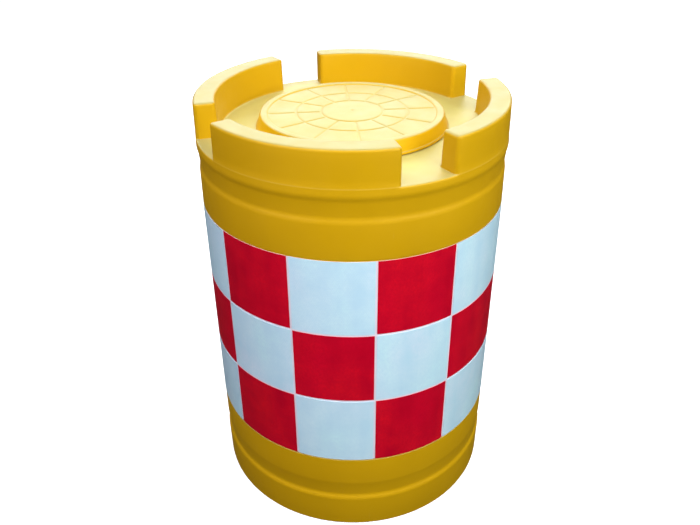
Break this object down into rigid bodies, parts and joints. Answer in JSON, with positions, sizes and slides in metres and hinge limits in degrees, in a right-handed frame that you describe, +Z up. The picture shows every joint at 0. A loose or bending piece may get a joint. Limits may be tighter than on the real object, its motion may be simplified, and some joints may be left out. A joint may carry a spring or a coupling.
{
  "type": "traffic barrel",
  "caption": "Free-standing moulded traffic barrel with a push-on lid over its filling neck, a notched crown, hoop grooves, a screw drain plug and a band of red and white reflective squares.",
  "frame": {"origin": "centre of the floor face, on the surface that the barrel stands on", "axes": "+Z up along the barrel's axis; +Y out of the drain, at the back; the crown's notches look along +X, +Y, -X and -Y"},
  "size_m": [0.5758, 0.5758, 0.82],
  "materials": {
    "body_yellow": "satin moulded polyethylene",
    "lid_yellow": "satin moulded polyethylene",
    "film_white": "white backing sheet, showing as thin lines between the squares",
    "film_silver": "silver-blue retroreflective film with a fine cell pattern",
    "film_red": "red retroreflective film with a fine cell pattern",
    "seal_rubber": "matt black rubber",
    "plug_black": "satin black plastic",
    "bush_brass": "turned brass"
  },
  "bodies": {
    "barrel": {"barrel_body": "body_yellow", "drain_bush": "bush_brass", "reflective_sheet_1": "film_white", "reflective_sheet_2": "film_white", "red_square_01": "film_red", "red_square_02": "film_red", "red_square_03": "film_red", "red_square_04": "film_red", "red_square_05": "film_red", "red_square_06": "film_red", "red_square_07": "film_red", "red_square_08": "film_red", "red_square_09": "film_red", "red_square_10": "film_red", "red_square_11": "film_red", "red_square_12": "film_red", "red_square_13": "film_red", "red_square_14": "film_red", "red_square_15": "film_red", "red_square_16": "film_red", "red_square_17": "film_red", "red_square_18": "film_red", "silver_square_01": "film_silver", "silver_square_02": "film_silver", "silver_square_03": "film_silver", "silver_square_04": "film_silver", "silver_square_05": "film_silver", "silver_square_06": "film_silver", "silver_square_07": "film_silver", "silver_square_08": "film_silver", "silver_square_09": "film_silver", "silver_square_10": "film_silver", "silver_square_11": "film_silver", "silver_square_12": "film_silver", "silver_square_13": "film_silver", "silver_square_14": "film_silver", "silver_square_15": "film_silver", "silver_square_16": "film_silver", "silver_square_17": "film_silver", "silver_square_18": "film_silver"},
    "lid": {"fill_lid": "lid_yellow", "lid_seal": "seal_rubber"},
    "drain_washer": {"drain_washer": "seal_rubber"},
    "drain_plug": {"drain_plug": "plug_black"}
  },
  "joints": [
    {"name": "lid_lift", "type": "slide", "parent": "barrel", "child": "lid", "axis": [0, 0, 1], "range_m": [0, 0.12]},
    {"name": "drain_travel", "type": "slide", "parent": "barrel", "child": "drain_washer", "axis": [0, 1, 0], "range_m": [0, 0.0481]},
    {"name": "drain_turn", "type": "hinge", "parent": "drain_washer", "child": "drain_plug", "pos_m": [0, 0.264, 0.04], "axis": [0, 1, 0], "range_deg": [0, 2880]}
  ],
  "couplings": [
    {"joint": "drain_travel", "follows": "drain_turn", "m_per_rad": 0.00095493}
  ]
}
